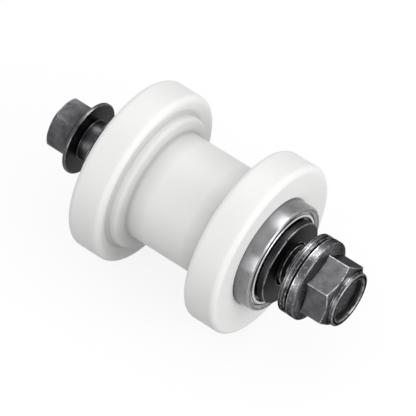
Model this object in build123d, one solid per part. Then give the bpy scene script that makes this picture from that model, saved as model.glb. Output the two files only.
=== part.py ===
from build123d import *
from math import radians, sqrt, tan
import os

# A flanged spool roller on two ball bearings, with the bolt that carries it in a bracket.
# Millimetres. The axle lies along +Y, with the bolt's head at the -Y end and the nut at the +Y end.
# The origin is on the axle, half way along the roller. A station is a place along Y.

# The white roller
roller_length = 40.8        # over the rims of both flanges, before their edges are rounded
flange_radius = 21.0
flange_width = 9.3          # across one rim
rim_outer_round = 1.4
rim_inner_round = 1.3
outer_taper = 5.7           # of the end face, which falls in from the rim to the bearing, in degrees
inner_taper = 20.3          # of the groove's side, which falls back from the rim to the shoulder
shoulder_radius = 16.4
shoulder_inset = 1.0        # how far the shoulder reaches into the groove, past the rim's edge
shoulder_taper = 8.5        # of the shoulder's own face, from its edge down to the hub
shoulder_round = 0.9
foot_round = 0.5            # in the corner where the shoulder meets the flange, and the hub the shoulder
hub_radius = 13.25
hollow_radius = 10.4        # the bore between the bearings, clear of the sleeve
pocket_chamfer = 0.35

# The two ball bearings
bearing_radius = 13.0
bearing_bore_radius = 5.0
bearing_width = 8.0
bearing_stand_out = 3.05    # past the rim of the flange
ring_chamfer = 0.3
inner_ring_wall = 2.3       # from the bore to the land
outer_ring_wall = 2.0
ball_radius = 2.381
ball_count = 7
race_clearance = 0.04       # between a ball and its tracks, so that all of it turns freely
track_radius = 2.5          # of the track's own cross-section
shield_seat_wall = 1.4      # of the outer ring, round the shield
shield_seat_depth = 0.95
shield_seat_chamfer = 0.35
shield_sheet = 0.3
shield_curl = 0.6           # width of the curled edge that snaps into the outer ring
shield_curl_round = 0.27
shield_recess = 0.05        # from the ring's face to the curled edge
shield_gap = 0.2            # round the inner ring
cage_radial = 2.2
cage_end_gap = 0.1          # from the closed side of the cage to the shield
cage_lip = 1.0              # past the balls' centres, at the open side
cage_clearance = 0.08

# The sleeve and the washers on the bolt
sleeve_radius = 7.0
sleeve_clearance = 0.25     # round the bolt
washer_radius = 10.0
washer_thickness = 1.75
washer_clearance = 0.45     # round the bolt, so that a washer also clears the fillet under the head
washer_edge = 0.2
nut_washer_radius = 9.65
nut_washer_thickness = 1.9
nut_washer_edge = 0.35

# The spaces left for the bracket's plates
head_space = 5.2
nut_space = 3.5

# The bolt
shank_radius = 4.9
bolt_end_inset = 1.05       # from the nut's top to the bolt's end in its mouth
bolt_end_chamfer = 0.5
hexagon_edge_round = 0.35   # of the upright edges, on the head and on the nut
head_height = 7.95
head_flats = 12.0
head_corner_angle = 1.3     # from +X towards +Z, in degrees
head_crown = 1.9
head_flange_radius = 8.9
head_flange_rim = 0.9
head_flange_height = 2.0    # up to the foot of the hexagon
head_rim_round = 0.35
head_fillet = 0.4           # under the head, at the shank

# The lock nut
nut_height = 10.45
nut_flats = 14.0
nut_corner_angle = 47.7
nut_flange_radius = 9.7
nut_flange_rim = 2.3
nut_flange_height = 3.3
nut_foot_margin = 0.3       # the sloped flange's top stands out from the flats by so much
nut_rim_round = 0.5
nut_seat_relief = 0.5       # the seat is narrower than the rim, and slopes back to it by so much
nut_seat_radius = 8.9
nut_hex_top = 9.05
nut_hex_chamfer = 0.9       # along the axle, from the corners in to the collar
collar_radius = 6.55
collar_round = 0.4
mouth_radius = 5.1
mouth_chamfer = 0.2
thread_clearance = 0.02
locking_ring_radius = 5.7
locking_ring_length = 1.3
locking_lip = 0.5           # of the collar, rolled in over the ring

# Places that follow from those sizes
rim_station = roller_length / 2
groove_station = rim_station - flange_width
shoulder_station = groove_station - shoulder_inset
outer_land_radius = bearing_radius - outer_ring_wall
inner_land_radius = bearing_bore_radius + inner_ring_wall
ball_pitch_radius = (outer_land_radius + inner_land_radius) / 2
shield_seat_radius = bearing_radius - shield_seat_wall
cage_back = bearing_width / 2 - shield_seat_depth - cage_end_gap
bearing_face = rim_station + bearing_stand_out
bearing_center = bearing_face - bearing_width / 2
pocket_station = bearing_face - bearing_width
washer_face = bearing_face + washer_thickness
head_seat = -(washer_face + head_space)
nut_seat = washer_face + nut_space + nut_washer_thickness
bolt_end = nut_seat + nut_height - bolt_end_inset


def turned(outline, rounds=()):
    """A solid turned about the axle from points of (station, radius), with some corners rounded."""
    face = make_face(Polyline(*outline, close=True))
    for point, radius in rounds:
        corner = face.vertices().sort_by_distance((point[0], point[1], 0))[0]
        face = fillet(corner, radius)
    return revolve(Plane.YZ * face, Axis.Y)


def fall(taper, outer, inner):
    """How far along the axle a tapered face falls between two radii."""
    return (outer - inner) * tan(radians(taper))


def hexagon(across_flats, corner_angle, start, end):
    """A six-sided bar between two stations, with a corner at the given angle from +X towards +Z."""
    outline = RegularPolygon(across_flats / 2, 6, major_radius=False, rotation=corner_angle)
    outline = fillet(outline.vertices(), hexagon_edge_round)
    bar = extrude(Plane.XZ * outline, end - start, dir=(0, 1, 0))
    return Pos(0, start, 0) * bar


def write(name, solid):
    solid.label = name
    export_step(solid, f"parts/{name}.step")


def roller():
    """Hub, shoulders and flanges in one moulding, bored through and pocketed for the bearings."""
    dished_face = rim_station - fall(outer_taper, flange_radius, bearing_radius)
    dished_side = groove_station + fall(inner_taper, flange_radius, shoulder_radius)
    hub_end = shoulder_station - fall(shoulder_taper, shoulder_radius, hub_radius)
    outer_rim = (rim_station, flange_radius)
    inner_rim = (groove_station, flange_radius)
    foot = (dished_side, shoulder_radius)
    shoulder = (shoulder_station, shoulder_radius)
    hub_foot = (hub_end, hub_radius)
    half = [
        (0, hollow_radius),
        (pocket_station, hollow_radius),
        (pocket_station, bearing_radius),
        (dished_face - pocket_chamfer, bearing_radius),
        (dished_face, bearing_radius + pocket_chamfer),
        outer_rim,
        inner_rim,
        foot,
        shoulder,
        hub_foot,
        (0, hub_radius),
    ]
    rounds = [
        (outer_rim, rim_outer_round),
        (inner_rim, rim_inner_round),
        (foot, foot_round),
        (shoulder, shoulder_round),
        (hub_foot, foot_round),
    ]
    nut_half = turned(half, rounds)
    return nut_half + mirror(nut_half, Plane.XZ)


def track(radius):
    """The ring-shaped cutter that grinds a ball track with its bottom at the given radius."""
    inward = ball_pitch_radius > radius
    middle = radius + track_radius if inward else radius - track_radius
    section = Pos(0, middle) * Circle(track_radius)
    return revolve(Plane.YZ * section, Axis.Y)


def outer_ring():
    half_width = bearing_width / 2
    seat = half_width - shield_seat_depth
    outline = [
        (-half_width, shield_seat_radius + shield_seat_chamfer),
        (shield_seat_chamfer - half_width, shield_seat_radius),
        (-seat, shield_seat_radius),
        (-seat, outer_land_radius),
        (seat, outer_land_radius),
        (seat, shield_seat_radius),
        (half_width - shield_seat_chamfer, shield_seat_radius),
        (half_width, shield_seat_radius + shield_seat_chamfer),
        (half_width, bearing_radius - ring_chamfer),
        (half_width - ring_chamfer, bearing_radius),
        (ring_chamfer - half_width, bearing_radius),
        (-half_width, bearing_radius - ring_chamfer),
    ]
    return turned(outline) - track(ball_pitch_radius + ball_radius + race_clearance)


def inner_ring():
    half_width = bearing_width / 2
    outline = [
        (-half_width, bearing_bore_radius + ring_chamfer),
        (ring_chamfer - half_width, bearing_bore_radius),
        (half_width - ring_chamfer, bearing_bore_radius),
        (half_width, bearing_bore_radius + ring_chamfer),
        (half_width, inner_land_radius),
        (-half_width, inner_land_radius),
    ]
    return turned(outline) - track(ball_pitch_radius - ball_radius - race_clearance)


def shield():
    """A pressed disc that fills the ring's seat, with a curled edge and a sunk middle."""
    face = bearing_width / 2 - shield_recess
    back = bearing_width / 2 - shield_seat_depth
    curl = shield_seat_radius - shield_curl
    sunk_face = back + shield_sheet
    inner = inner_land_radius + shield_gap
    outer_bend = (face, shield_seat_radius)
    inner_bend = (face, curl)
    outline = [
        (back, inner),
        (back, shield_seat_radius),
        outer_bend,
        inner_bend,
        (sunk_face, curl - shield_sheet),
        (sunk_face, inner),
    ]
    return turned(outline, [(outer_bend, shield_curl_round), (inner_bend, shield_curl_round)])


def around_pitch(solid, step):
    """A copy of a piece that sits on the ball circle, moved on by so many ball spacings."""
    return Rot(0, step * 360 / ball_count, 0) * solid


def ball():
    return Pos(0, 0, ball_pitch_radius) * Sphere(ball_radius)


def cage():
    """A snap-in crown: a ring with round pockets that reach past the balls' centres."""
    inner = ball_pitch_radius - cage_radial / 2
    outer = ball_pitch_radius + cage_radial / 2
    crown = turned([(-cage_back, inner), (cage_lip, inner), (cage_lip, outer), (-cage_back, outer)])
    pocket = Pos(0, 0, ball_pitch_radius) * Sphere(ball_radius + cage_clearance)
    for step in range(ball_count):
        crown -= around_pitch(pocket, step)
    return crown


def bearing(side, flip):
    """All the pieces of one bearing, set in the roller's pocket on the given side."""
    place = Pos(0, flip * bearing_center, 0)
    turn = Rot(0, 0, 0 if flip > 0 else 180)
    write(f"{side}_outer_ring", place * outer_ring())
    write(f"{side}_inner_ring", place * inner_ring())
    write(f"{side}_outboard_shield", place * turn * shield())
    write(f"{side}_inboard_shield", place * turn * Rot(0, 0, 180) * shield())
    write(f"{side}_cage", place * turn * cage())
    for step in range(ball_count):
        write(f"{side}_ball_{step + 1}", place * turn * around_pitch(ball(), step))


def sleeve():
    bore = shank_radius + sleeve_clearance
    return turned([
        (-pocket_station, bore),
        (pocket_station, bore),
        (pocket_station, sleeve_radius),
        (-pocket_station, sleeve_radius),
    ])


def washer(start, thickness, radius, edge):
    """A flat punched ring between two stations, with its outer edges rounded."""
    bore = shank_radius + washer_clearance
    end = start + thickness
    outline = [(start, bore), (start, radius), (end, radius), (end, bore)]
    return turned(outline, [((start, radius), edge), ((end, radius), edge)])


def bolt():
    """Hexagon head with a crowned end, forged in one with its flange, shank and threaded end."""
    head_end = head_seat - head_height
    hex_foot = head_seat - head_flange_height
    corner_radius = head_flats / sqrt(3)
    rim_back = (head_seat - head_flange_rim, head_flange_radius)
    rim_front = (head_seat, head_flange_radius)
    crown = (head_end, corner_radius)
    hexagon_bar = hexagon(head_flats, head_corner_angle, head_end, hex_foot)
    crown_form = turned(
        [(head_end, 0), crown, (hex_foot, corner_radius), (hex_foot, 0)],
        [(crown, head_crown)],
    )
    neck = (head_seat, shank_radius)
    stem = turned(
        [
            (hex_foot, 0),
            (hex_foot, corner_radius),
            rim_back,
            rim_front,
            neck,
            (bolt_end - bolt_end_chamfer, shank_radius),
            (bolt_end, shank_radius - bolt_end_chamfer),
            (bolt_end, 0),
        ],
        [(rim_back, head_rim_round), (rim_front, head_rim_round), (neck, head_fillet)],
    )
    return (hexagon_bar & crown_form) + stem


def lock_nut():
    """Flange, hexagon and rolled collar in one, with a bore and a seat for the locking ring."""
    rim_end = nut_seat + nut_flange_rim
    hex_foot = nut_seat + nut_flange_height
    hex_top = nut_seat + nut_hex_top
    top = nut_seat + nut_height
    corner_radius = nut_flats / sqrt(3)
    thread = shank_radius + thread_clearance
    ring_end = top - locking_lip
    ring_start = ring_end - locking_ring_length
    flange = turned(
        [
            (nut_seat, 0),
            (nut_seat, nut_seat_radius),
            (nut_seat + nut_seat_relief, nut_flange_radius),
            (rim_end, nut_flange_radius),
            (hex_foot, nut_flats / 2 + nut_foot_margin),
            (hex_foot, 0),
        ],
        [((rim_end, nut_flange_radius), nut_rim_round)],
    )
    chamfer_start = hex_top - nut_hex_chamfer
    chamfer_form = turned([
        (rim_end, 0),
        (rim_end, corner_radius),
        (chamfer_start, corner_radius),
        (hex_top, collar_radius),
        (hex_top, 0),
    ])
    hexagon_bar = hexagon(nut_flats, nut_corner_angle, rim_end, hex_top) & chamfer_form
    collar = turned(
        [(hex_top, 0), (hex_top, collar_radius), (top, collar_radius), (top, 0)],
        [((top, collar_radius), collar_round)],
    )
    bore = turned([
        (nut_seat, 0),
        (nut_seat, thread),
        (ring_start, thread),
        (ring_start, locking_ring_radius),
        (ring_end, locking_ring_radius),
        (ring_end, mouth_radius),
        (top - mouth_chamfer, mouth_radius),
        (top, mouth_radius + mouth_chamfer),
        (top, 0),
    ])
    return flange + hexagon_bar + collar - bore


def locking_ring():
    start = nut_seat + nut_height - locking_lip - locking_ring_length
    end = start + locking_ring_length
    bore = shank_radius + thread_clearance
    return turned([(start, bore), (end, bore), (end, locking_ring_radius), (start, locking_ring_radius)])


os.makedirs("parts", exist_ok=True)
write("roller", roller())
bearing("nut_side", 1)
bearing("head_side", -1)
write("spacer_sleeve", sleeve())
write("nut_side_washer", washer(bearing_face, washer_thickness, washer_radius, washer_edge))
write("head_side_washer", washer(-washer_face, washer_thickness, washer_radius, washer_edge))
nut_washer_start = nut_seat - nut_washer_thickness
write("nut_washer", washer(nut_washer_start, nut_washer_thickness, nut_washer_radius, nut_washer_edge))
write("flange_bolt", bolt())
write("lock_nut", lock_nut())
write("locking_ring", locking_ring())
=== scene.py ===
import math
import bpy
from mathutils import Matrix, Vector


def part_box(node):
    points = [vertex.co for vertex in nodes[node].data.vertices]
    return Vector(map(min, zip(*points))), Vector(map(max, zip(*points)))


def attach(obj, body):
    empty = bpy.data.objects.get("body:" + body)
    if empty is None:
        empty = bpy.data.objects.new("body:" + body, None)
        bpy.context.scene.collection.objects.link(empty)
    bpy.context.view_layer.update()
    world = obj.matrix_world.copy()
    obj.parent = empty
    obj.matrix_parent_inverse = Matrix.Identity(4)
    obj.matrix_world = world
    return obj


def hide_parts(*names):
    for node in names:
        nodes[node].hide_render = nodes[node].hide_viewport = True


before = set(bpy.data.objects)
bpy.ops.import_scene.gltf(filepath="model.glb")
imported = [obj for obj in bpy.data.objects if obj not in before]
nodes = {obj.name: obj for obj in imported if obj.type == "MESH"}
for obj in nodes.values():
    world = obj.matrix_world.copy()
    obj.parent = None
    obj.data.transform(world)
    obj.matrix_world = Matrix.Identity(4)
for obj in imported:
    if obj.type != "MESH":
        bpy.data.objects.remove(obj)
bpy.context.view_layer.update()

# The roller.
# One thick moulding in natural white nylon: the hub, its two shoulders and the two flanges.
# It is bored and pocketed for the bearings, and its faces are skimmed on a lathe.

mm = 0.001


def srgb(code):
    """A hex colour as it is seen, turned to the linear values that a shader takes."""
    parts = [int(code[at:at + 2], 16) / 255 for at in (1, 3, 5)]
    return tuple(p / 12.92 if p <= 0.04045 else ((p + 0.055) / 1.055) ** 2.4 for p in parts) + (1.0,)


def material(name):
    """An empty material, its nodes and its shader."""
    made = bpy.data.materials.new(name)
    made.use_nodes = True
    return made, made.node_tree, made.node_tree.nodes["Principled BSDF"]


def connect(tree, node, inputs):
    """Gives a node its values, and links to it what comes from another node."""
    for name, value in inputs.items():
        if isinstance(value, bpy.types.NodeSocket):
            tree.links.new(value, node.inputs[name])
        else:
            node.inputs[name].default_value = value


def add(tree, kind, inputs=None, **settings):
    """A node in a material, with its settings, its values and what is linked to it."""
    made = tree.nodes.new(kind)
    for name, value in settings.items():
        setattr(made, name, value)
    connect(tree, made, inputs or {})
    return made


def finish(node_names, surface):
    """Gives CAD nodes the material of their real surface."""
    for name in node_names:
        for slot in range(len(nodes[name].data.materials)):
            nodes[name].data.materials[slot] = surface


def from_axle(tree, place):
    """How far a place is from the axle, and its station along it."""
    parts = add(tree, "ShaderNodeSeparateXYZ", {"Vector": place}).outputs
    flat = add(tree, "ShaderNodeCombineXYZ", {"X": parts["X"], "Y": parts["Z"]})
    radius = add(tree, "ShaderNodeVectorMath", {0: flat.outputs[0]}, operation="LENGTH")
    return radius.outputs["Value"], parts["Y"]


def ring_lines(tree, place, spacing):
    """A noise that is the same all the way round the axle, as a lathe or a grinding wheel leaves it."""
    radius, station = from_axle(tree, place)
    section = add(tree, "ShaderNodeCombineXYZ", {"X": radius, "Y": station})
    return add(tree, "ShaderNodeTexNoise",
               {"Vector": section.outputs[0], "Scale": 1 / spacing, "Detail": 3.0}).outputs["Fac"]


def shade_at_foot(tree, section, foot, reach, full, most):
    """Painted shade in the foot of a step: the most of it nearer than full, and none past its reach."""
    away = add(tree, "ShaderNodeVectorMath", {0: section, 1: foot}, operation="DISTANCE").outputs["Value"]
    return add(tree, "ShaderNodeMapRange",
               {"Value": away, "From Min": reach, "From Max": full, "To Max": most}).outputs["Result"]


# Natural nylon is white and satin, and lets light in a little way. Faint clouds come from the melt
# and fine rings from the lathe. The grey in the corners and round the shoulders, most of it in the
# line where a shoulder meets the hub, is painted shade.
nylon, tree, shader = material("moulded natural nylon")
place = add(tree, "ShaderNodeTexCoord").outputs["Object"]
cloud_size = 9 * mm
grain_size = 0.6 * mm
skim_spacing = 0.35 * mm
skin_depth = 0.02 * mm
glow_depth = 1.2 * mm
deep_white, pale_white, crease_shade_grey = srgb("#E7E7E6"), srgb("#EBEBEA"), srgb("#ACACAC")
cloud = add(tree, "ShaderNodeTexNoise",
            {"Vector": place, "Scale": 1 / cloud_size, "Detail": 3.0}).outputs["Fac"]
tone = add(tree, "ShaderNodeMix", {"Factor": cloud, "A": deep_white, "B": pale_white}, data_type="RGBA")

# Each foot is given by its radius and its station, which are the same at both ends of the roller.
hub_foot = (13.25 * mm, 9.63 * mm, 0)
flange_foot = (16.4 * mm, 12.8 * mm, 0)
corner_reach = 1.4 * mm
radius, station = from_axle(tree, place)
station = add(tree, "ShaderNodeMath", {0: station}, operation="ABSOLUTE")
section = add(tree, "ShaderNodeCombineXYZ", {"X": radius, "Y": station.outputs[0]}).outputs[0]
# Painted shade: the feet of the hub and of the flanges, and every close corner, turn grey.
hub_line = shade_at_foot(tree, section, hub_foot, reach=1.1 * mm, full=0.2 * mm, most=0.85)
hub_shade_veil = shade_at_foot(tree, section, hub_foot, reach=4.6 * mm, full=0.8 * mm, most=0.4)
flange_line = shade_at_foot(tree, section, flange_foot, reach=1.6 * mm, full=0.2 * mm, most=0.6)
line = add(tree, "ShaderNodeMath", {0: hub_line, 1: flange_line}, operation="MAXIMUM")
corner = add(tree, "ShaderNodeAmbientOcclusion", {"Distance": corner_reach}, samples=12, only_local=True)
shade_share = add(tree, "ShaderNodeMapRange",
            {"Value": corner.outputs["AO"], "From Min": 0.95, "From Max": 0.5, "To Max": 0.6})
shade_share = add(tree, "ShaderNodeMath", {0: shade_share.outputs["Result"], 1: hub_shade_veil}, operation="ADD")
shade_share = add(tree, "ShaderNodeMath", {0: shade_share.outputs[0], 1: line.outputs[0]},
            operation="MAXIMUM", use_clamp=True)
tone = add(tree, "ShaderNodeMix", {"Factor": shade_share.outputs[0], "A": tone.outputs["Result"], "B": crease_shade_grey},
           data_type="RGBA")

grain = add(tree, "ShaderNodeTexNoise", {"Vector": place, "Scale": 1 / grain_size, "Detail": 4.0})
skimmed = ring_lines(tree, place, skim_spacing)
relief = add(tree, "ShaderNodeMath", {0: skimmed, 1: 0.5, 2: grain.outputs["Fac"]},
             operation="MULTIPLY_ADD")
relief = add(tree, "ShaderNodeBump",
             {"Height": relief.outputs[0], "Strength": 0.15, "Distance": skin_depth})
gloss = add(tree, "ShaderNodeMapRange", {"Value": cloud, "To Min": 0.56, "To Max": 0.66})
connect(tree, shader, {
    "Base Color": tone.outputs["Result"],
    "Roughness": gloss.outputs["Result"],
    "Normal": relief.outputs["Normal"],
    "IOR": 1.53,
    "Subsurface Weight": 0.06,
    "Subsurface Radius": (1.0, 1.0, 1.0),
    "Subsurface Scale": glow_depth,
})
finish(["roller"], nylon)

# The bearings' rings.
# Two races on each side, in hardened chrome steel, ground all over and left bright.
# The outer ones are pressed into the roller and stand out of its ends.

sides = ("nut_side", "head_side")


def across_lines(tree, place):
    """The direction square to the lines that run round the axle, in which they spread a reflection."""
    parts = add(tree, "ShaderNodeSeparateXYZ", {"Vector": place}).outputs
    back = add(tree, "ShaderNodeMath", {0: parts["X"], 1: -1.0}, operation="MULTIPLY")
    round_axle = add(tree, "ShaderNodeCombineXYZ", {"X": parts["Z"], "Z": back.outputs[0]})
    turned = add(tree, "ShaderNodeVectorTransform", {"Vector": round_axle.outputs[0]},
                 vector_type="VECTOR", convert_from="OBJECT", convert_to="WORLD")
    facing = add(tree, "ShaderNodeNewGeometry").outputs["Normal"]
    square = add(tree, "ShaderNodeVectorMath", {0: facing, 1: turned.outputs[0]}, operation="CROSS_PRODUCT")
    return add(tree, "ShaderNodeVectorMath", {0: square.outputs[0]}, operation="NORMALIZE").outputs[0]


def worn_edges(tree, place, reach, patch):
    """From 0 on the faces of a piece to 1 along its outer edges, where handling rubs it, in patches."""
    inside = add(tree, "ShaderNodeAmbientOcclusion", {"Distance": reach},
                 samples=12, inside=True, only_local=True)
    edge = add(tree, "ShaderNodeMapRange",
               {"Value": inside.outputs["AO"], "From Min": 0.97, "From Max": 0.72})
    rub = add(tree, "ShaderNodeTexNoise",
              {"Vector": place, "Scale": 1 / patch, "Detail": 4.0, "Roughness": 0.65})
    uneven = add(tree, "ShaderNodeMapRange",
                 {"Value": rub.outputs["Fac"], "From Min": 0.36, "From Max": 0.58})
    return add(tree, "ShaderNodeMath", {0: edge.outputs["Result"], 1: uneven.outputs["Result"]},
               operation="MULTIPLY", use_clamp=True).outputs[0]


def end_facing(tree):
    """How squarely a face looks along the axle: 1 on an end face and 0 on a rim."""
    facing = add(tree, "ShaderNodeTexCoord").outputs["Normal"]
    along = add(tree, "ShaderNodeSeparateXYZ", {"Vector": facing}).outputs["Y"]
    return add(tree, "ShaderNodeMath", {0: along}, operation="ABSOLUTE").outputs[0]


# The grinding wheel leaves lines round the ring, too fine to see, that draw each highlight out
# along the axle. They are drawn at 0.2 mm, so that they just show. Handling leaves darker smears,
# the end faces are darker in flecks, and the edges are bright.
ground_steel, tree, shader = material("ground bearing steel")
place = add(tree, "ShaderNodeTexCoord").outputs["Object"]
line_spacing = 0.2 * mm
line_depth = 0.004 * mm
smear_size = 5 * mm
fleck_size = 0.8 * mm
smeared, clean, dark_end_tone, bright = srgb("#686869"), srgb("#A6A6A8"), srgb("#3E3E40"), srgb("#F0F0F2")
lines = ring_lines(tree, place, line_spacing)
smear = add(tree, "ShaderNodeTexNoise",
            {"Vector": place, "Scale": 1 / smear_size, "Detail": 5.0, "Roughness": 0.6}).outputs["Fac"]
tone = add(tree, "ShaderNodeMix", {"Factor": smear, "A": smeared, "B": clean}, data_type="RGBA")
flecks = add(tree, "ShaderNodeTexNoise",
             {"Vector": place, "Scale": 1 / fleck_size, "Detail": 5.0, "Roughness": 0.6})
end_darkening = add(tree, "ShaderNodeMapRange",
              {"Value": flecks.outputs["Fac"], "From Min": 0.35, "From Max": 0.6,
               "To Min": 0.95, "To Max": 0.45})
end_face = add(tree, "ShaderNodeMapRange", {"Value": end_facing(tree), "From Min": 0.88, "From Max": 0.97})
end_darkening = add(tree, "ShaderNodeMath", {0: end_darkening.outputs["Result"], 1: end_face.outputs["Result"]},
              operation="MULTIPLY")
tone = add(tree, "ShaderNodeMix",
           {"Factor": end_darkening.outputs[0], "A": tone.outputs["Result"], "B": dark_end_tone}, data_type="RGBA")
worn = worn_edges(tree, place, reach=0.26 * mm, patch=4 * mm)
tone = add(tree, "ShaderNodeMix", {"Factor": worn, "A": tone.outputs["Result"], "B": bright},
           data_type="RGBA")
gloss = add(tree, "ShaderNodeMapRange",
            {"Value": smear, "From Min": 0.3, "From Max": 0.7, "To Min": 0.22, "To Max": 0.42})
relief = add(tree, "ShaderNodeBump", {"Height": lines, "Strength": 0.2, "Distance": line_depth})
connect(tree, shader, {
    "Base Color": tone.outputs["Result"],
    "Metallic": 1.0,
    "Roughness": gloss.outputs["Result"],
    "Anisotropic": 0.75,
    "Normal": relief.outputs["Normal"],
    "Tangent": across_lines(tree, place),
})
finish([f"{side}_{ring}_ring" for side in sides for ring in ("outer", "inner")], ground_steel)

# The bearings' shields.
# Thin discs pressed from cold rolled sheet, whose curled edge snaps into a groove in the outer ring.
# Their middles are sunk and keep a gap round the inner ring.

# Cold rolled sheet is smooth, with a soft grain. The curled edge is polished by the die. The sunk part
# and the groove round the curl are turned almost black with painted shade.
pressed_steel, tree, shader = material("pressed shield steel")
place = add(tree, "ShaderNodeTexCoord").outputs["Object"]
sheet_grain = 0.35 * mm
grain_depth = 0.004 * mm
oil_size = 3 * mm
shade_reach = 0.9 * mm
curl_foot = 10.7 * mm
sunk_radius = 10.5 * mm
oiled_steel, dry_steel, painted_recess_shade = srgb("#B0B0B2"), srgb("#D6D6D8"), srgb("#3A3A3C")
grain = add(tree, "ShaderNodeTexNoise",
            {"Vector": place, "Scale": 1 / sheet_grain, "Detail": 3.0}).outputs["Fac"]
oil = add(tree, "ShaderNodeTexNoise", {"Vector": place, "Scale": 1 / oil_size, "Detail": 4.0})
tone = add(tree, "ShaderNodeMix", {"Factor": oil.outputs["Fac"], "A": oiled_steel, "B": dry_steel},
           data_type="RGBA")
radius = from_axle(tree, place)[0]
# Painted shade: the sunk middle and the recesses by other pieces go almost black.
sunk = add(tree, "ShaderNodeMapRange", {"Value": radius, "From Min": curl_foot, "From Max": sunk_radius})
low = add(tree, "ShaderNodeAmbientOcclusion", {"Distance": shade_reach}, samples=12)
recess_shade_share = add(tree, "ShaderNodeMapRange", {"Value": low.outputs["AO"], "From Min": 0.8, "From Max": 0.35})
recess_shade_share = add(tree, "ShaderNodeMath", {0: recess_shade_share.outputs["Result"], 1: sunk.outputs["Result"]},
             operation="MAXIMUM")
tone = add(tree, "ShaderNodeMix", {"Factor": recess_shade_share.outputs[0], "A": tone.outputs["Result"], "B": painted_recess_shade},
           data_type="RGBA")
gloss = add(tree, "ShaderNodeMapRange", {"Value": grain, "To Min": 0.2, "To Max": 0.32})
relief = add(tree, "ShaderNodeBump", {"Height": grain, "Strength": 0.2, "Distance": grain_depth})
connect(tree, shader, {
    "Base Color": tone.outputs["Result"],
    "Metallic": 1.0,
    "Roughness": gloss.outputs["Result"],
    "Normal": relief.outputs["Normal"],
})
finish([f"{side}_inboard_shield" for side in sides], pressed_steel)

same_point = 0.001 * mm
smooth_below = math.radians(32)


def drawn_line(name, start, steps):
    """A line drawn step by step from its start, as half of the section of a piece that is turned."""
    bpy.ops.object.select_all(action="DESELECT")
    bpy.ops.mesh.primitive_plane_add(size=1 * mm, location=(0, 0, 0))
    piece = bpy.context.object
    piece.name = name
    bpy.ops.object.mode_set(mode="EDIT")
    bpy.ops.mesh.merge(type="CENTER")
    bpy.ops.transform.translate(value=start)
    for step in steps:
        bpy.ops.mesh.extrude_region_move(TRANSFORM_OT_translate={"value": step})
    bpy.ops.object.mode_set(mode="OBJECT")
    return piece


def turn_round(piece, steps, rise=0.0, turns=1):
    """Turns a line about the axle, so many steps a turn, and leaves its doubles merged in edit mode."""
    turning = piece.modifiers.new("turned", "SCREW")
    turning.axis = "Y"
    turning.angle = math.tau
    turning.screw_offset = rise
    turning.iterations = turns
    turning.steps = steps
    turning.render_steps = steps
    turning.use_merge_vertices = True
    turning.merge_threshold = same_point / 2
    bpy.ops.object.modifier_apply(modifier="turned")
    bpy.ops.object.mode_set(mode="EDIT")
    bpy.ops.mesh.select_all(action="SELECT")
    bpy.ops.mesh.remove_doubles(threshold=same_point)


# The outboard ones show, so their curl has its full round here: a section walked round from the
# back, over the curl and into the middle, as radius and station, and then turned.
disc_steps = 160
back_of_sheet = 22.5 * mm
front_of_sheet = 22.8 * mm
middle_hole = 7.5 * mm
edge_radius = 11.58 * mm
edge_station = 22.9 * mm
curl_middle = 10.82 * mm
curl_bend = 0.42 * mm
curl_station = 23.06 * mm
sunk_edge = 10.45 * mm
section = [(middle_hole, back_of_sheet), (edge_radius, back_of_sheet), (edge_radius, edge_station)]
for degrees in range(0, 181, 15):
    angle = math.radians(degrees)
    section.append((curl_middle + curl_bend * math.cos(angle), curl_station + curl_bend * math.sin(angle)))
section += [(sunk_edge, front_of_sheet), (middle_hole, front_of_sheet), section[0]]
for side, way in (("nut_side", 1), ("head_side", -1)):
    start = (section[0][0], way * section[0][1], 0)
    steps = [(corner[0] - last[0], way * (corner[1] - last[1]), 0)
             for last, corner in zip(section, section[1:])]
    shield = drawn_line(f"{side}_curled_shield", start, steps)
    turn_round(shield, disc_steps)
    bpy.ops.mesh.normals_make_consistent(inside=False)
    bpy.ops.object.mode_set(mode="OBJECT")
    bpy.ops.object.shade_smooth_by_angle(angle=smooth_below)
    shield.data.materials.append(pressed_steel)
    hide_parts(f"{side}_outboard_shield")
    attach(shield, "roller")

# The bearings' balls and cages.
# Seven lapped steel balls a side, held apart by a snap-in crown moulded in dark nylon.
# Both are greased, and hidden by the shields.

# Lapped balls are as bright as chrome, under a thin and uneven film of grease.
lapped_steel, tree, shader = material("lapped ball steel")
place = add(tree, "ShaderNodeTexCoord").outputs["Object"]
film_size = 1.5 * mm
film = add(tree, "ShaderNodeTexNoise", {"Vector": place, "Scale": 1 / film_size, "Detail": 2.0})
gloss = add(tree, "ShaderNodeMapRange", {"Value": film.outputs["Fac"], "To Min": 0.04, "To Max": 0.16})
connect(tree, shader, {
    "Base Color": srgb("#C9C9CC"),
    "Metallic": 1.0,
    "Roughness": gloss.outputs["Result"],
})
balls_a_side = 7
finish([f"{side}_ball_{ball + 1}" for side in sides for ball in range(balls_a_side)], lapped_steel)

# Moulded nylon with a carbon tint: almost black, with the soft grain of a spark eroded mould.
dark_nylon, tree, shader = material("moulded dark nylon")
place = add(tree, "ShaderNodeTexCoord").outputs["Object"]
mould_grain = 0.25 * mm
grain_depth = 0.01 * mm
deep_black, soft_black = srgb("#161618"), srgb("#26262A")
grain = add(tree, "ShaderNodeTexNoise",
            {"Vector": place, "Scale": 1 / mould_grain, "Detail": 4.0}).outputs["Fac"]
tone = add(tree, "ShaderNodeMix", {"Factor": grain, "A": deep_black, "B": soft_black}, data_type="RGBA")
relief = add(tree, "ShaderNodeBump", {"Height": grain, "Strength": 0.4, "Distance": grain_depth})
connect(tree, shader, {
    "Base Color": tone.outputs["Result"],
    "Roughness": 0.45,
    "IOR": 1.53,
    "Normal": relief.outputs["Normal"],
})
finish([f"{side}_cage" for side in sides], dark_nylon)

# The spacer sleeve.
# A length of free cutting steel bar, bored and turned, that keeps the inner rings apart.
# It is clamped between them, deep inside the roller.

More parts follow.
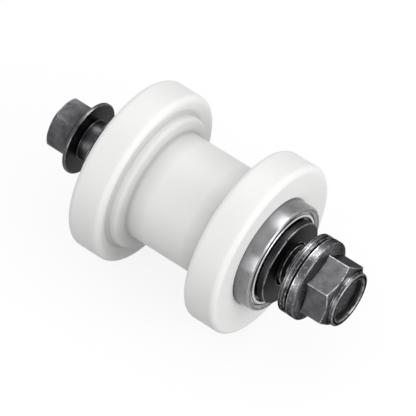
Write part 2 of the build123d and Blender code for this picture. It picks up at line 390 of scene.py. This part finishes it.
# The tool leaves even feed lines round it, 0.3 mm apart.
turned_steel, tree, shader = material("turned steel")
place = add(tree, "ShaderNodeTexCoord").outputs["Object"]
feed = 0.3 * mm
feed_depth = 0.02 * mm
furrow, ridge = srgb("#848486"), srgb("#A6A6A8")
lines = ring_lines(tree, place, feed)
tone = add(tree, "ShaderNodeMix", {"Factor": lines, "A": furrow, "B": ridge}, data_type="RGBA")
relief = add(tree, "ShaderNodeBump", {"Height": lines, "Strength": 0.5, "Distance": feed_depth})
connect(tree, shader, {
    "Base Color": tone.outputs["Result"],
    "Metallic": 1.0,
    "Roughness": 0.36,
    "Anisotropic": 0.6,
    "Normal": relief.outputs["Normal"],
    "Tangent": across_lines(tree, place),
})
finish(["spacer_sleeve"], turned_steel)

# The washers at the bearings.
# Flat rings punched from steel plate, tumbled and blackened in hot oxide.
# They lie between the bearings' inner rings and the bracket's plates.

# Hot oxide is a thin blue black skin. It is satin, and tumbling has rubbed it thin on the rims and
# back to grey steel along the edges.
black_steel, tree, shader = material("black oxide steel")
place = add(tree, "ShaderNodeTexCoord").outputs["Object"]
bloom_size = 2 * mm
bloom_depth = 0.01 * mm
thick_oxide, thin_oxide = srgb("#161618"), srgb("#28282A")
rubbed_rim, bare_steel = srgb("#303032"), srgb("#C4C4C6")
bloom = add(tree, "ShaderNodeTexNoise",
            {"Vector": place, "Scale": 1 / bloom_size, "Detail": 5.0, "Roughness": 0.6}).outputs["Fac"]
oxide = add(tree, "ShaderNodeMix", {"Factor": bloom, "A": thick_oxide, "B": thin_oxide}, data_type="RGBA")
rim = add(tree, "ShaderNodeMapRange", {"Value": end_facing(tree), "From Min": 0.5, "From Max": 0.2})
oxide = add(tree, "ShaderNodeMix",
            {"Factor": rim.outputs["Result"], "A": oxide.outputs["Result"], "B": rubbed_rim},
            data_type="RGBA")
worn = worn_edges(tree, place, reach=0.26 * mm, patch=2 * mm)
tone = add(tree, "ShaderNodeMix", {"Factor": worn, "A": oxide.outputs["Result"], "B": bare_steel},
           data_type="RGBA")
gloss = add(tree, "ShaderNodeMapRange", {"Value": worn, "To Min": 0.42, "To Max": 0.26})
relief = add(tree, "ShaderNodeBump", {"Height": bloom, "Strength": 0.3, "Distance": bloom_depth})
connect(tree, shader, {
    "Base Color": tone.outputs["Result"],
    "Metallic": 1.0,
    "Specular Tint": srgb("#E2E2E2"),
    "Roughness": gloss.outputs["Result"],
    "Normal": relief.outputs["Normal"],
})
finish(["nut_side_washer", "head_side_washer"], black_steel)

# The nut, and the washer under it.
# The nut is cold forged in one with its flange and its rolled collar, then tapped.
# It and its washer are plated with dark zinc, and a spanner has rubbed the corners bright.

# Dark zinc is a mid grey with small darker clouds, and fine pits from the forging.
dark_zinc, tree, shader = material("dark zinc on forged steel")
place = add(tree, "ShaderNodeTexCoord").outputs["Object"]
bath_cloud = 1.8 * mm
deep_grey, mid_grey = srgb("#4E4E50"), srgb("#626264")
cloud = add(tree, "ShaderNodeTexNoise",
            {"Vector": place, "Scale": 1 / bath_cloud, "Detail": 6.0, "Roughness": 0.62}).outputs["Fac"]
thin = add(tree, "ShaderNodeMapRange", {"Value": cloud, "From Min": 0.35, "From Max": 0.65})
zinc = add(tree, "ShaderNodeMix", {"Factor": thin.outputs["Result"], "A": deep_grey, "B": mid_grey},
           data_type="RGBA")

# The nut's flange is darker than its flats, and its collar and the washer darkest: a painted dark
# reflection.
flat_middle = 36.8 * mm
flat_half = 2.9 * mm
blend = 0.5 * mm
collar_foot = 39.2 * mm
collar_top = 40.2 * mm
washer_top = 30.6 * mm
flange_dark_reflection, collar_dark_reflection = srgb("#545456"), srgb("#262628")
along = add(tree, "ShaderNodeSeparateXYZ", {"Vector": place}).outputs["Y"]
away = add(tree, "ShaderNodeMath", {0: along, 1: flat_middle}, operation="SUBTRACT")
away = add(tree, "ShaderNodeMath", {0: away.outputs[0]}, operation="ABSOLUTE")
off_flats = add(tree, "ShaderNodeMapRange",
                {"Value": away.outputs[0], "From Min": flat_half, "From Max": flat_half + blend})
zinc = add(tree, "ShaderNodeMix",
           {"Factor": off_flats.outputs["Result"], "A": zinc.outputs["Result"], "B": flange_dark_reflection},
           data_type="RGBA")
collar = add(tree, "ShaderNodeMapRange", {"Value": along, "From Min": collar_foot, "From Max": collar_top})
washer = add(tree, "ShaderNodeMath", {0: along, 1: washer_top}, operation="LESS_THAN")
collar = add(tree, "ShaderNodeMath", {0: collar.outputs["Result"], 1: washer.outputs[0]},
             operation="MAXIMUM")
zinc = add(tree, "ShaderNodeMix",
           {"Factor": collar.outputs[0], "A": zinc.outputs["Result"], "B": collar_dark_reflection}, data_type="RGBA")

# Those round parts are scored by the die and rubbed bare in specks, and all edges are rubbed pale.
mark_spacing = 0.55 * mm
speck_size = 0.45 * mm
pit_size = 0.3 * mm
pit_depth = 0.02 * mm
score_grey, bare_zinc, pale_edge = srgb("#A2A2A4"), srgb("#C0C0C2"), srgb("#D2D2D4")
round_part = add(tree, "ShaderNodeMath", {0: off_flats.outputs["Result"], 1: washer.outputs[0]},
                 operation="MAXIMUM").outputs[0]
specks = add(tree, "ShaderNodeTexNoise",
             {"Vector": place, "Scale": 1 / speck_size, "Detail": 3.0, "Roughness": 0.6}).outputs["Fac"]
for marks, start, full, most, colour in (
    (ring_lines(tree, place, mark_spacing), 0.52, 0.66, 0.55, score_grey),
    (specks, 0.6, 0.7, 0.7, bare_zinc),
):
    amount = add(tree, "ShaderNodeMapRange",
                 {"Value": marks, "From Min": start, "From Max": full, "To Max": most})
    amount = add(tree, "ShaderNodeMath", {0: amount.outputs["Result"], 1: round_part},
                 operation="MULTIPLY")
    zinc = add(tree, "ShaderNodeMix",
               {"Factor": amount.outputs[0], "A": zinc.outputs["Result"], "B": colour}, data_type="RGBA")
worn = worn_edges(tree, place, reach=0.35 * mm, patch=1.3 * mm)
tone = add(tree, "ShaderNodeMix", {"Factor": worn, "A": zinc.outputs["Result"], "B": pale_edge},
           data_type="RGBA")
gloss = add(tree, "ShaderNodeMapRange", {"Value": cloud, "To Min": 0.22, "To Max": 0.38})
pits = add(tree, "ShaderNodeTexNoise", {"Vector": place, "Scale": 1 / pit_size, "Detail": 3.0})
relief = add(tree, "ShaderNodeBump",
             {"Height": pits.outputs["Fac"], "Strength": 0.35, "Distance": pit_depth})
connect(tree, shader, {
    "Base Color": tone.outputs["Result"],
    "Metallic": 1.0,
    "Specular Tint": srgb("#8C8C8C"),
    "Roughness": gloss.outputs["Result"],
    "Normal": relief.outputs["Normal"],
})
finish(["lock_nut", "nut_washer"], dark_zinc)

# The locking ring.
# A ring of dark nylon, held in the nut's collar by its rolled lip.
# The bolt's thread bites into it, so that the nut can't shake loose.
finish(["locking_ring"], dark_nylon)

# The bolt.
# Its hexagon head, flange and shank are cold forged in one, the thread is rolled between dies,
# and the whole is dipped in a grey oxide. It passes through both bearings and takes the nut.


def bolt_part(name, station, cleared):
    """The bolt's own solid, cut square at a station, with the part on one side of it cleared away."""
    bpy.ops.object.select_all(action="DESELECT")
    part = nodes["flange_bolt"].copy()
    part.data = nodes["flange_bolt"].data.copy()
    part.name = name
    bpy.context.scene.collection.objects.link(part)
    part.hide_render = False
    part.select_set(True)
    bpy.context.view_layer.objects.active = part
    bpy.ops.object.mode_set(mode="EDIT")
    bpy.ops.mesh.select_all(action="SELECT")
    bpy.ops.mesh.remove_doubles(threshold=same_point)
    bpy.ops.mesh.bisect(plane_co=(0, station, 0), plane_no=(0, 1, 0), use_fill=True, **cleared)
    bpy.ops.object.mode_set(mode="OBJECT")
    return part


# The thread is one pitch of its outline, turned and raised past both of its ends, cut square there
# and closed. The tip, where it dies out in the chamfer, and the plain part are the solid's own shape.
bolt_radius = 4.9 * mm
thread_start = 14 * mm
tip_start = 39.4 * mm
pitch = 1.25 * mm
thread_depth = 0.61 * pitch
crest = pitch / 8
root = pitch / 4
flank = (pitch - crest - root) / 2
lead_in = 2.4 * pitch
spare_turns = 5
thread_turns = math.ceil((tip_start - thread_start) / pitch) + spare_turns
thread_steps = 72
thread = drawn_line("thread", (0, thread_start - lead_in, bolt_radius - thread_depth),
                    ((0, root, 0), (0, flank, thread_depth), (0, crest, 0), (0, flank, -thread_depth)))
turn_round(thread, thread_steps, rise=pitch, turns=thread_turns)
bpy.ops.mesh.bisect(plane_co=(0, thread_start, 0), plane_no=(0, 1, 0), clear_inner=True)
bpy.ops.mesh.select_all(action="SELECT")
bpy.ops.mesh.bisect(plane_co=(0, tip_start, 0), plane_no=(0, 1, 0), clear_outer=True)
bpy.ops.mesh.select_all(action="DESELECT")
bpy.ops.mesh.select_mode(type="EDGE")
bpy.ops.mesh.select_non_manifold()
bpy.ops.mesh.fill_holes(sides=0)
bpy.ops.mesh.select_all(action="SELECT")
bpy.ops.mesh.normals_make_consistent(inside=False)
bpy.ops.object.mode_set(mode="OBJECT")
tip = bolt_part("bolt_tip", tip_start, {"clear_inner": True})
bolt = bolt_part("threaded_bolt", thread_start, {"clear_outer": True})
thread.select_set(True)
tip.select_set(True)
bpy.ops.object.join()
bpy.ops.object.shade_smooth_by_angle(angle=smooth_below)
evened = bolt.modifiers.new("flat faces stay flat", "WEIGHTED_NORMAL")
evened.keep_sharp = True
bpy.ops.object.modifier_apply(modifier="flat faces stay flat")

# Grey oxide on forged steel: mid grey, smudged by the furnace, with a fine pitted skin. The raised
# edges are rubbed a little brighter. The faces towards the nut and the thread's root are darker with
# painted shade, the threaded length is darker, and bright spots on its tip are painted glints.
grey_oxide, tree, shader = material("grey oxide on forged steel")
place = add(tree, "ShaderNodeTexCoord").outputs["Object"]
smudge_size = 2.6 * mm
glint_size = 0.8 * mm
pit_size = 0.28 * mm
pit_depth = 0.02 * mm
groove_reach = 0.9 * mm
smudged, even_oxide, painted_seat_shade = srgb("#3C3C3E"), srgb("#525254"), srgb("#363638")
threaded_grey, painted_glint_grey, rubbed, painted_groove_shade = srgb("#1C1C1E"), srgb("#707072"), srgb("#B0B0B2"), srgb("#121213")
smudge = add(tree, "ShaderNodeTexNoise",
             {"Vector": place, "Scale": 1 / smudge_size, "Detail": 6.0, "Roughness": 0.62}).outputs["Fac"]
patches = add(tree, "ShaderNodeMapRange", {"Value": smudge, "From Min": 0.34, "From Max": 0.66})
oxide = add(tree, "ShaderNodeMix", {"Factor": patches.outputs["Result"], "A": smudged, "B": even_oxide},
            data_type="RGBA")
facing = add(tree, "ShaderNodeSeparateXYZ", {"Vector": add(tree, "ShaderNodeTexCoord").outputs["Normal"]})
# Painted shade: faces that look along the axle towards the nut, the head's seat most, are darker.
seat = add(tree, "ShaderNodeMapRange", {"Value": facing.outputs["Y"], "From Min": 0.9, "From Max": 0.97})
along = add(tree, "ShaderNodeSeparateXYZ", {"Vector": place}).outputs["Y"]
threaded_length = add(tree, "ShaderNodeMapRange",
            {"Value": along, "From Min": thread_start - pitch, "From Max": thread_start})
# Painted glints: bright spots on the bolt's tip.
glint_noise = add(tree, "ShaderNodeTexNoise",
              {"Vector": place, "Scale": 1 / glint_size, "Detail": 4.0, "Roughness": 0.65})
glint_spots = add(tree, "ShaderNodeMapRange",
            {"Value": glint_noise.outputs["Fac"], "From Min": 0.52, "From Max": 0.72})
at_tip = add(tree, "ShaderNodeMath", {0: along, 1: tip_start}, operation="GREATER_THAN")
glint_spots = add(tree, "ShaderNodeMath", {0: glint_spots.outputs["Result"], 1: at_tip.outputs[0]},
            operation="MULTIPLY")
worn = worn_edges(tree, place, reach=0.35 * mm, patch=1.1 * mm)
# Painted shade: the thread's root and every hollow corner of the bolt go almost black.
groove = add(tree, "ShaderNodeAmbientOcclusion", {"Distance": groove_reach}, samples=12, only_local=True)
groove_shade_share = add(tree, "ShaderNodeMapRange", {"Value": groove.outputs["AO"], "From Min": 0.94, "From Max": 0.55})
for amount, colour in (
    (seat.outputs["Result"], painted_seat_shade),
    (threaded_length.outputs["Result"], threaded_grey),
    (glint_spots.outputs[0], painted_glint_grey),
    (worn, rubbed),
    (groove_shade_share.outputs["Result"], painted_groove_shade),
):
    oxide = add(tree, "ShaderNodeMix", {"Factor": amount, "A": oxide.outputs["Result"], "B": colour},
                data_type="RGBA")
gloss = add(tree, "ShaderNodeMapRange", {"Value": smudge, "To Min": 0.24, "To Max": 0.4})
pits = add(tree, "ShaderNodeTexNoise", {"Vector": place, "Scale": 1 / pit_size, "Detail": 3.0})
relief = add(tree, "ShaderNodeBump",
             {"Height": pits.outputs["Fac"], "Strength": 0.35, "Distance": pit_depth})
connect(tree, shader, {
    "Base Color": oxide.outputs["Result"],
    "Metallic": 1.0,
    "Specular Tint": srgb("#D8D8D8"),
    "Roughness": gloss.outputs["Result"],
    "Normal": relief.outputs["Normal"],
})
bolt.data.materials.clear()
bolt.data.materials.append(grey_oxide)
for face in bolt.data.polygons:
    face.material_index = 0
finish(["flange_bolt"], grey_oxide)
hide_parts("flange_bolt")
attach(bolt, "bolt_set")

# The floor, the light and the camera.
# White paper under the roller, a bright room, two soft lamps before the nut, and two wider ones,
# above the roller and beside it. The photo was taken from above, over the nut.


def shown_rays(tree):
    """1 where the camera sees a thing, by itself or in metal or glass, and 0 where it only gives light."""
    path = add(tree, "ShaderNodeLightPath").outputs
    seen = add(tree, "ShaderNodeMath", {0: path["Is Camera Ray"], 1: path["Is Glossy Ray"]},
               operation="MAXIMUM")
    return add(tree, "ShaderNodeMath", {0: seen.outputs[0], 1: path["Is Transmission Ray"]},
               operation="MAXIMUM").outputs[0]


# The paper shows almost pure white, keeps the roller's shadow, and throws only a little light back.
floor_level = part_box("roller")[0].z
bpy.ops.object.select_all(action="DESELECT")
bpy.ops.mesh.primitive_plane_add(size=6.0, location=(0, 0, floor_level))
floor = bpy.context.object
floor.name = "floor"
paper, tree, shader = material("white paper")
grey_paper, pure_white = srgb("#808080"), srgb("#FFFFFF")
seen = shown_rays(tree)
sheet = add(tree, "ShaderNodeMix", {"Factor": seen, "A": grey_paper, "B": pure_white}, data_type="RGBA")
connect(tree, shader, {"Base Color": sheet.outputs["Result"], "Roughness": 0.9})
share = add(tree, "ShaderNodeMath", {0: seen, 1: 0.85}, operation="MULTIPLY")
white = add(tree, "ShaderNodeEmission", {"Color": pure_white, "Strength": 1.0})
mixed = add(tree, "ShaderNodeMixShader", {0: share.outputs[0], 1: shader.outputs[0], 2: white.outputs[0]})
connect(tree, tree.nodes["Material Output"], {"Surface": mixed.outputs[0]})
floor.data.materials.append(paper)

world = bpy.data.worlds.new("bright room")
bpy.context.scene.world = world
world.use_nodes = True
tree = world.node_tree
level = add(tree, "ShaderNodeMapRange", {"Value": shown_rays(tree), "To Min": 0.92, "To Max": 1.0})
connect(tree, tree.nodes["Background"], {"Color": pure_white, "Strength": level.outputs["Result"]})


def soft_lamp(name, place, size, power):
    """A flat lamp that faces the roller from its place, with its first side level."""
    lamp = bpy.data.lights.new(name, "AREA")
    lamp.shape = "RECTANGLE"
    lamp.size, lamp.size_y = size
    lamp.energy = power
    holder = bpy.data.objects.new(name, lamp)
    bpy.context.scene.collection.objects.link(holder)
    holder.location = place
    holder.rotation_euler = holder.location.to_track_quat("Z", "Y").to_euler()
    return holder


# The two strips lie along the axle. They draw the long highlights on the metal, and leave the nylon
# to the other two.
soft_lamp("front lamp", (-0.03, 0.56, 0.20), (0.35, 0.35), 1.35)
soft_lamp("side lamp", (0.43, 0.40, 0.12), (0.35, 0.35), 0.3)
for strip in (
    soft_lamp("top strip", (-0.31, -0.06, 0.515), (0.4, 0.32), 3.6),
    soft_lamp("side strip", (0.557, -0.06, 0.225), (0.4, 0.32), 1.8),
):
    strip.visible_diffuse = False

view_turn = math.radians(127.65)
view_height = math.radians(53.56)
view_distance = 0.705
view_offset = (2.096 * mm, -0.322 * mm)
focal_pixels = 3219
frame_pixels = 416
camera = bpy.data.cameras.new("camera")
camera.sensor_width = 36.0
camera.lens = focal_pixels * camera.sensor_width / frame_pixels
camera.clip_end = 20.0
holder = bpy.data.objects.new("camera", camera)
bpy.context.scene.collection.objects.link(holder)
holder.rotation_euler = (math.pi / 2 - view_height, 0, view_turn)
turn = holder.rotation_euler.to_matrix()
holder.location = turn @ Vector((view_offset[0], view_offset[1], view_distance))
bpy.context.scene.camera = holder

bpy.context.scene.view_settings.view_transform = "Standard"
